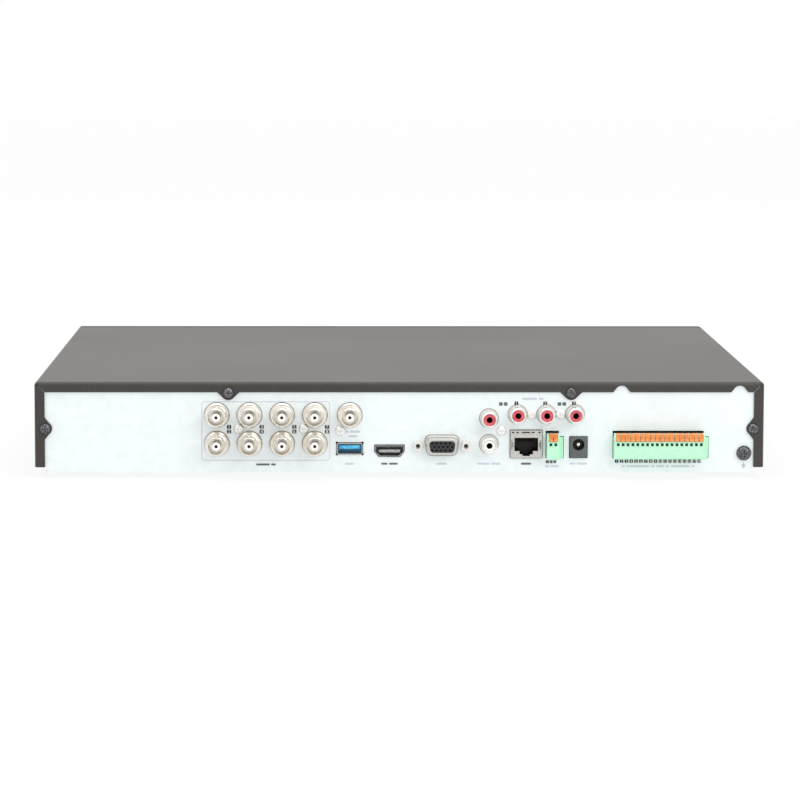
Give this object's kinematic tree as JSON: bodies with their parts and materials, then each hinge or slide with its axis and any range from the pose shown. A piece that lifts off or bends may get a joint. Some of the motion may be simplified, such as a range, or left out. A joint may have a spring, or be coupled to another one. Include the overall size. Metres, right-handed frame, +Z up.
{
  "type": "dvr recorder",
  "caption": "Low sheet-metal surveillance video recorder, rear connector panel with camera, audio, video, network, power and alarm sockets, sliding cover, drive bay and side fan.",
  "frame": {"origin": "under the middle of the overall box, on the surface the feet stand on", "axes": "+X to the right when the rear connector panel is looked at, +Y from the rear panel to the front fascia, +Z up"},
  "size_m": [0.38, 0.333, 0.05],
  "materials": {
    "plated_sheet": "electroplated folded steel sheet, pale and slightly spangled",
    "cover_paint": "fine-textured dark grey powder coat",
    "black_zinc_screw": "black zinc",
    "nickel_screw": "bright nickel plate",
    "fascia_plastic": "finely spark-eroded moulded plastic",
    "smoked_window": "gloss smoked strip",
    "foot_rubber": "matt rubber",
    "board_laminate": "green solder mask over glass laminate",
    "component_black": "moulded black epoxy",
    "heatsink_aluminium": "extruded, satin",
    "housing_black": "moulded glass-filled plastic",
    "nickel_shell": "nickel-plated turned shell",
    "tin_shell": "tin-plated stamped shell",
    "jack_white": "white moulded insulator",
    "jack_red": "red moulded insulator",
    "contact_brass": "gold-flashed brass",
    "data_blue": "blue moulded tongue",
    "dc_grey": "dark grey moulded plastic",
    "terminal_green": "light green moulded polyamide",
    "lever_orange": "orange moulded polyamide",
    "drive_casting": "die-cast, lightly blasted",
    "drive_lid_steel": "stamped lid",
    "platter_mirror": "polished disc",
    "fan_black": "moulded black plastic",
    "lead_red": "flexible sheath"
  },
  "bodies": {
    "case": {"alarm_header": "terminal_green", "analog_video_jackscrews": "nickel_screw", "analog_video_port_insulator": "housing_black", "analog_video_port_shell": "tin_shell", "bnc_insulators": "jack_white", "bnc_shells": "nickel_shell", "board_components": "component_black", "chassis": "plated_sheet", "data_port_shells": "tin_shell", "data_port_tongues": "data_blue", "dc_jack_body": "dc_grey", "digital_video_port_shell": "tin_shell", "digital_video_port_tongue": "housing_black", "drive_leads": "lead_red", "fan_frame": "fan_black", "fascia_window": "smoked_window", "front_board": "board_laminate", "front_fascia": "fascia_plastic", "ground_screw": "black_zinc_screw", "hdd_base": "drive_casting", "hdd_lid": "drive_lid_steel", "heatsink": "heatsink_aluminium", "jack_centre_contacts": "contact_brass", "jack_housings": "housing_black", "lan_jack_insert": "housing_black", "lan_jack_shield": "tin_shell", "main_board": "board_laminate", "pan_head_screws": "nickel_screw", "phono_red_insulators": "jack_red", "phono_sleeves": "nickel_shell", "phono_white_insulator": "jack_white", "rubber_feet": "foot_rubber", "serial_header": "terminal_green"},
    "cover": {"top_cover": "cover_paint", "cover_screws": "black_zinc_screw"},
    "fan_blades": {"fan_rotor": "fan_black"},
    "disc_pack": {"hdd_platters": "platter_mirror"},
    "head_arm": {"hdd_actuator": "heatsink_aluminium"},
    "alarm_terminal": {"alarm_plug": "terminal_green"},
    "serial_terminal": {"serial_plug": "terminal_green"},
    "alarm_press_lever_01": {"alarm_lever_01": "lever_orange"},
    "alarm_press_lever_02": {"alarm_lever_02": "lever_orange"},
    "alarm_press_lever_03": {"alarm_lever_03": "lever_orange"},
    "alarm_press_lever_04": {"alarm_lever_04": "lever_orange"},
    "alarm_press_lever_05": {"alarm_lever_05": "lever_orange"},
    "alarm_press_lever_06": {"alarm_lever_06": "lever_orange"},
    "alarm_press_lever_07": {"alarm_lever_07": "lever_orange"},
    "alarm_press_lever_08": {"alarm_lever_08": "lever_orange"},
    "alarm_press_lever_09": {"alarm_lever_09": "lever_orange"},
    "alarm_press_lever_10": {"alarm_lever_10": "lever_orange"},
    "alarm_press_lever_11": {"alarm_lever_11": "lever_orange"},
    "alarm_press_lever_12": {"alarm_lever_12": "lever_orange"},
    "alarm_press_lever_13": {"alarm_lever_13": "lever_orange"},
    "alarm_press_lever_14": {"alarm_lever_14": "lever_orange"},
    "alarm_press_lever_15": {"alarm_lever_15": "lever_orange"},
    "alarm_press_lever_16": {"alarm_lever_16": "lever_orange"},
    "alarm_press_lever_17": {"alarm_lever_17": "lever_orange"},
    "alarm_press_lever_18": {"alarm_lever_18": "lever_orange"},
    "serial_press_lever_01": {"serial_lever_01": "lever_orange"},
    "serial_press_lever_02": {"serial_lever_02": "lever_orange"}
  },
  "joints": [
    {"name": "cover_slides_off", "type": "slide", "parent": "case", "child": "cover", "axis": [0, -1, 0], "range_m": [0, 0.33]},
    {"name": "fan_spins", "type": "hinge", "parent": "case", "child": "fan_blades", "pos_m": [-0.18, -0.0994, 0.02665], "axis": [1, 0, 0], "continuous": true},
    {"name": "discs_spin", "type": "hinge", "parent": "case", "child": "disc_pack", "pos_m": [-0.1092, 0.0918, 0.0185], "axis": [0, 0, 1], "continuous": true},
    {"name": "head_arm_swings", "type": "hinge", "parent": "case", "child": "head_arm", "pos_m": [-0.0892, 0.0368, 0.0185], "axis": [0, 0, -1], "range_deg": [0, 28]},
    {"name": "alarm_plug_pulls_out", "type": "slide", "parent": "case", "child": "alarm_terminal", "axis": [0, -1, 0], "range_m": [0, 0.012]},
    {"name": "serial_plug_pulls_out", "type": "slide", "parent": "case", "child": "serial_terminal", "axis": [0, -1, 0], "range_m": [0, 0.012]},
    {"name": "alarm_lever_01_presses", "type": "slide", "parent": "alarm_terminal", "child": "alarm_press_lever_01", "axis": [0, 1, 0], "range_m": [0, 0.0015], "stiffness_N_per_m": 2000, "springref_m": -0.0005},
    {"name": "alarm_lever_02_presses", "type": "slide", "parent": "alarm_terminal", "child": "alarm_press_lever_02", "axis": [0, 1, 0], "range_m": [0, 0.0015], "stiffness_N_per_m": 2000, "springref_m": -0.0005},
    {"name": "alarm_lever_03_presses", "type": "slide", "parent": "alarm_terminal", "child": "alarm_press_lever_03", "axis": [0, 1, 0], "range_m": [0, 0.0015], "stiffness_N_per_m": 2000, "springref_m": -0.0005},
    {"name": "alarm_lever_04_presses", "type": "slide", "parent": "alarm_terminal", "child": "alarm_press_lever_04", "axis": [0, 1, 0], "range_m": [0, 0.0015], "stiffness_N_per_m": 2000, "springref_m": -0.0005},
    {"name": "alarm_lever_05_presses", "type": "slide", "parent": "alarm_terminal", "child": "alarm_press_lever_05", "axis": [0, 1, 0], "range_m": [0, 0.0015], "stiffness_N_per_m": 2000, "springref_m": -0.0005},
    {"name": "alarm_lever_06_presses", "type": "slide", "parent": "alarm_terminal", "child": "alarm_press_lever_06", "axis": [0, 1, 0], "range_m": [0, 0.0015], "stiffness_N_per_m": 2000, "springref_m": -0.0005},
    {"name": "alarm_lever_07_presses", "type": "slide", "parent": "alarm_terminal", "child": "alarm_press_lever_07", "axis": [0, 1, 0], "range_m": [0, 0.0015], "stiffness_N_per_m": 2000, "springref_m": -0.0005},
    {"name": "alarm_lever_08_presses", "type": "slide", "parent": "alarm_terminal", "child": "alarm_press_lever_08", "axis": [0, 1, 0], "range_m": [0, 0.0015], "stiffness_N_per_m": 2000, "springref_m": -0.0005},
    {"name": "alarm_lever_09_presses", "type": "slide", "parent": "alarm_terminal", "child": "alarm_press_lever_09", "axis": [0, 1, 0], "range_m": [0, 0.0015], "stiffness_N_per_m": 2000, "springref_m": -0.0005},
    {"name": "alarm_lever_10_presses", "type": "slide", "parent": "alarm_terminal", "child": "alarm_press_lever_10", "axis": [0, 1, 0], "range_m": [0, 0.0015], "stiffness_N_per_m": 2000, "springref_m": -0.0005},
    {"name": "alarm_lever_11_presses", "type": "slide", "parent": "alarm_terminal", "child": "alarm_press_lever_11", "axis": [0, 1, 0], "range_m": [0, 0.0015], "stiffness_N_per_m": 2000, "springref_m": -0.0005},
    {"name": "alarm_lever_12_presses", "type": "slide", "parent": "alarm_terminal", "child": "alarm_press_lever_12", "axis": [0, 1, 0], "range_m": [0, 0.0015], "stiffness_N_per_m": 2000, "springref_m": -0.0005},
    {"name": "alarm_lever_13_presses", "type": "slide", "parent": "alarm_terminal", "child": "alarm_press_lever_13", "axis": [0, 1, 0], "range_m": [0, 0.0015], "stiffness_N_per_m": 2000, "springref_m": -0.0005},
    {"name": "alarm_lever_14_presses", "type": "slide", "parent": "alarm_terminal", "child": "alarm_press_lever_14", "axis": [0, 1, 0], "range_m": [0, 0.0015], "stiffness_N_per_m": 2000, "springref_m": -0.0005},
    {"name": "alarm_lever_15_presses", "type": "slide", "parent": "alarm_terminal", "child": "alarm_press_lever_15", "axis": [0, 1, 0], "range_m": [0, 0.0015], "stiffness_N_per_m": 2000, "springref_m": -0.0005},
    {"name": "alarm_lever_16_presses", "type": "slide", "parent": "alarm_terminal", "child": "alarm_press_lever_16", "axis": [0, 1, 0], "range_m": [0, 0.0015], "stiffness_N_per_m": 2000, "springref_m": -0.0005},
    {"name": "alarm_lever_17_presses", "type": "slide", "parent": "alarm_terminal", "child": "alarm_press_lever_17", "axis": [0, 1, 0], "range_m": [0, 0.0015], "stiffness_N_per_m": 2000, "springref_m": -0.0005},
    {"name": "alarm_lever_18_presses", "type": "slide", "parent": "alarm_terminal", "child": "alarm_press_lever_18", "axis": [0, 1, 0], "range_m": [0, 0.0015], "stiffness_N_per_m": 2000, "springref_m": -0.0005},
    {"name": "serial_lever_01_presses", "type": "slide", "parent": "serial_terminal", "child": "serial_press_lever_01", "axis": [0, 1, 0], "range_m": [0, 0.0015], "stiffness_N_per_m": 2000, "springref_m": -0.0005},
    {"name": "serial_lever_02_presses", "type": "slide", "parent": "serial_terminal", "child": "serial_press_lever_02", "axis": [0, 1, 0], "range_m": [0, 0.0015], "stiffness_N_per_m": 2000, "springref_m": -0.0005}
  ]
}
